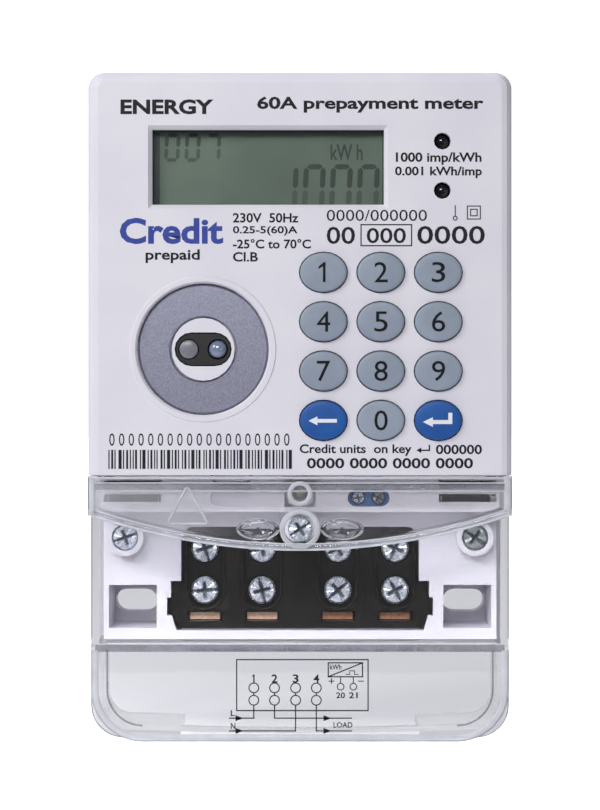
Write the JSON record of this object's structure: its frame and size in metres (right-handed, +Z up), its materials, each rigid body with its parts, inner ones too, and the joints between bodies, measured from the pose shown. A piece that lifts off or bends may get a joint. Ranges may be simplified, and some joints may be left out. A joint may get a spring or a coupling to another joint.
{
  "type": "prepaid electricity meter",
  "caption": "Wall-hung single-phase keypad meter with a display, optical port, screw terminals and a clear screwed-on terminal cover.",
  "frame": {"origin": "on the wall plane, at the middle of the meter's width and height", "axes": "+Z up, +X to the right of a reader who faces the meter, and the face looks along -Y"},
  "size_m": [0.105, 0.0514, 0.167],
  "materials": {
    "white_abs": "fine moulded satin, cool white",
    "clear_polycarbonate": "clear moulded, glossy",
    "display_window": "clear, glossy",
    "display_glass": "grey-green polarised glass",
    "key_rubber": "satin silicone",
    "key_rubber_blue": "satin silicone",
    "zinc_screw": "bright zinc plate",
    "port_steel": "fine-grained plated steel",
    "black_plastic": "moulded satin",
    "block_plastic": "dark brown moulded phenolic",
    "copper": "bare copper alloy",
    "circuit_board": "green solder mask",
    "pale_plastic": "moulded satin",
    "blue_plastic": "moulded satin",
    "lamp_lens": "tinted epoxy, glossy",
    "grey_plastic": "moulded satin",
    "core_steel": "laminated core with a taped winding"
  },
  "bodies": {
    "root": {"rear_base": "white_abs", "front_cover": "white_abs", "keypad_mat": "grey_plastic", "film_capacitor": "grey_plastic", "lcd_window": "display_window", "lcd_panel": "display_glass", "lcd_backlight": "pale_plastic", "battery": "pale_plastic", "lcd_frame": "black_plastic", "optical_insert": "black_plastic", "latching_relay": "black_plastic", "buzzer": "black_plastic", "meter_chip": "black_plastic", "tamper_switch": "black_plastic", "electrolytic_capacitor": "black_plastic", "pulse_led": "lamp_lens", "alarm_led": "lamp_lens", "optical_emitter": "lamp_lens", "optical_receiver": "lamp_lens", "optical_ring": "port_steel", "case_screw_left": "zinc_screw", "case_screw_right": "zinc_screw", "terminal_block": "block_plastic", "terminal_clamp_1": "copper", "terminal_clamp_2": "copper", "terminal_clamp_3": "copper", "terminal_clamp_4": "copper", "shunt_busbar": "copper", "load_busbar": "copper", "neutral_link": "copper", "aux_terminal": "blue_plastic", "main_board": "circuit_board", "transformer": "core_steel"},
    "hanger": {"hanger_hook": "grey_plastic"},
    "terminal_cover": {"terminal_cover": "clear_polycarbonate"},
    "cover_collar": {"cover_screw_collar": "zinc_screw"},
    "cover_screw": {"cover_screw": "zinc_screw"},
    "key_0": {"key_0": "key_rubber"},
    "key_1": {"key_1": "key_rubber"},
    "key_2": {"key_2": "key_rubber"},
    "key_3": {"key_3": "key_rubber"},
    "key_4": {"key_4": "key_rubber"},
    "key_5": {"key_5": "key_rubber"},
    "key_6": {"key_6": "key_rubber"},
    "key_7": {"key_7": "key_rubber"},
    "key_8": {"key_8": "key_rubber"},
    "key_9": {"key_9": "key_rubber"},
    "key_back": {"key_back": "key_rubber_blue"},
    "key_enter": {"key_enter": "key_rubber_blue"},
    "terminal_screw_1_upper": {"terminal_screw_1_upper": "zinc_screw"},
    "terminal_screw_1_lower": {"terminal_screw_1_lower": "zinc_screw"},
    "terminal_screw_2_upper": {"terminal_screw_2_upper": "zinc_screw"},
    "terminal_screw_2_lower": {"terminal_screw_2_lower": "zinc_screw"},
    "terminal_screw_3_upper": {"terminal_screw_3_upper": "zinc_screw"},
    "terminal_screw_3_lower": {"terminal_screw_3_lower": "zinc_screw"},
    "terminal_screw_4_upper": {"terminal_screw_4_upper": "zinc_screw"},
    "terminal_screw_4_lower": {"terminal_screw_4_lower": "zinc_screw"},
    "aux_screw_20": {"aux_screw_20": "zinc_screw"},
    "aux_screw_21": {"aux_screw_21": "zinc_screw"},
    "tamper_plunger": {"tamper_plunger": "pale_plastic"}
  },
  "joints": [
    {"name": "hanger_slide", "type": "slide", "parent": "root", "child": "hanger", "axis": [0, 0, 1], "range_m": [0, 0.012]},
    {"name": "cover_lift_off", "type": "slide", "parent": "root", "child": "terminal_cover", "axis": [0, -1, 0], "range_m": [0, 0.06]},
    {"name": "collar_lift", "type": "slide", "parent": "terminal_cover", "child": "cover_collar", "axis": [0, -1, 0], "range_m": [0, 0.0056]},
    {"name": "cover_screw_turn", "type": "hinge", "parent": "cover_collar", "child": "cover_screw", "pos_m": [0, -0.0472, -0.0296], "axis": [0, -1, 0], "range_deg": [0, 2880]},
    {"name": "key_0_press", "type": "slide", "parent": "root", "child": "key_0", "axis": [0, 1, 0], "range_m": [0, 0.0012], "stiffness_N_per_m": 400, "springref_m": -0.002},
    {"name": "key_1_press", "type": "slide", "parent": "root", "child": "key_1", "axis": [0, 1, 0], "range_m": [0, 0.0012], "stiffness_N_per_m": 400, "springref_m": -0.002},
    {"name": "key_2_press", "type": "slide", "parent": "root", "child": "key_2", "axis": [0, 1, 0], "range_m": [0, 0.0012], "stiffness_N_per_m": 400, "springref_m": -0.002},
    {"name": "key_3_press", "type": "slide", "parent": "root", "child": "key_3", "axis": [0, 1, 0], "range_m": [0, 0.0012], "stiffness_N_per_m": 400, "springref_m": -0.002},
    {"name": "key_4_press", "type": "slide", "parent": "root", "child": "key_4", "axis": [0, 1, 0], "range_m": [0, 0.0012], "stiffness_N_per_m": 400, "springref_m": -0.002},
    {"name": "key_5_press", "type": "slide", "parent": "root", "child": "key_5", "axis": [0, 1, 0], "range_m": [0, 0.0012], "stiffness_N_per_m": 400, "springref_m": -0.002},
    {"name": "key_6_press", "type": "slide", "parent": "root", "child": "key_6", "axis": [0, 1, 0], "range_m": [0, 0.0012], "stiffness_N_per_m": 400, "springref_m": -0.002},
    {"name": "key_7_press", "type": "slide", "parent": "root", "child": "key_7", "axis": [0, 1, 0], "range_m": [0, 0.0012], "stiffness_N_per_m": 400, "springref_m": -0.002},
    {"name": "key_8_press", "type": "slide", "parent": "root", "child": "key_8", "axis": [0, 1, 0], "range_m": [0, 0.0012], "stiffness_N_per_m": 400, "springref_m": -0.002},
    {"name": "key_9_press", "type": "slide", "parent": "root", "child": "key_9", "axis": [0, 1, 0], "range_m": [0, 0.0012], "stiffness_N_per_m": 400, "springref_m": -0.002},
    {"name": "key_back_press", "type": "slide", "parent": "root", "child": "key_back", "axis": [0, 1, 0], "range_m": [0, 0.0012], "stiffness_N_per_m": 400, "springref_m": -0.002},
    {"name": "key_enter_press", "type": "slide", "parent": "root", "child": "key_enter", "axis": [0, 1, 0], "range_m": [0, 0.0012], "stiffness_N_per_m": 400, "springref_m": -0.002},
    {"name": "terminal_screw_1_upper_travel", "type": "slide", "parent": "root", "child": "terminal_screw_1_upper", "axis": [0, -1, 0], "range_m": [0, 0.005]},
    {"name": "terminal_screw_1_lower_travel", "type": "slide", "parent": "root", "child": "terminal_screw_1_lower", "axis": [0, -1, 0], "range_m": [0, 0.005]},
    {"name": "terminal_screw_2_upper_travel", "type": "slide", "parent": "root", "child": "terminal_screw_2_upper", "axis": [0, -1, 0], "range_m": [0, 0.005]},
    {"name": "terminal_screw_2_lower_travel", "type": "slide", "parent": "root", "child": "terminal_screw_2_lower", "axis": [0, -1, 0], "range_m": [0, 0.005]},
    {"name": "terminal_screw_3_upper_travel", "type": "slide", "parent": "root", "child": "terminal_screw_3_upper", "axis": [0, -1, 0], "range_m": [0, 0.005]},
    {"name": "terminal_screw_3_lower_travel", "type": "slide", "parent": "root", "child": "terminal_screw_3_lower", "axis": [0, -1, 0], "range_m": [0, 0.005]},
    {"name": "terminal_screw_4_upper_travel", "type": "slide", "parent": "root", "child": "terminal_screw_4_upper", "axis": [0, -1, 0], "range_m": [0, 0.005]},
    {"name": "terminal_screw_4_lower_travel", "type": "slide", "parent": "root", "child": "terminal_screw_4_lower", "axis": [0, -1, 0], "range_m": [0, 0.005]},
    {"name": "aux_screw_20_travel", "type": "slide", "parent": "root", "child": "aux_screw_20", "axis": [0, -1, 0], "range_m": [0, 0.0025]},
    {"name": "aux_screw_21_travel", "type": "slide", "parent": "root", "child": "aux_screw_21", "axis": [0, -1, 0], "range_m": [0, 0.0025]},
    {"name": "tamper_plunger_press", "type": "slide", "parent": "root", "child": "tamper_plunger", "axis": [0, 1, 0], "range_m": [0, 0.0006], "stiffness_N_per_m": 400, "springref_m": -0.001}
  ],
  "couplings": [
    {"joint": "cover_screw_turn", "follows": "collar_lift", "rad_per_m": 8976}
  ]
}
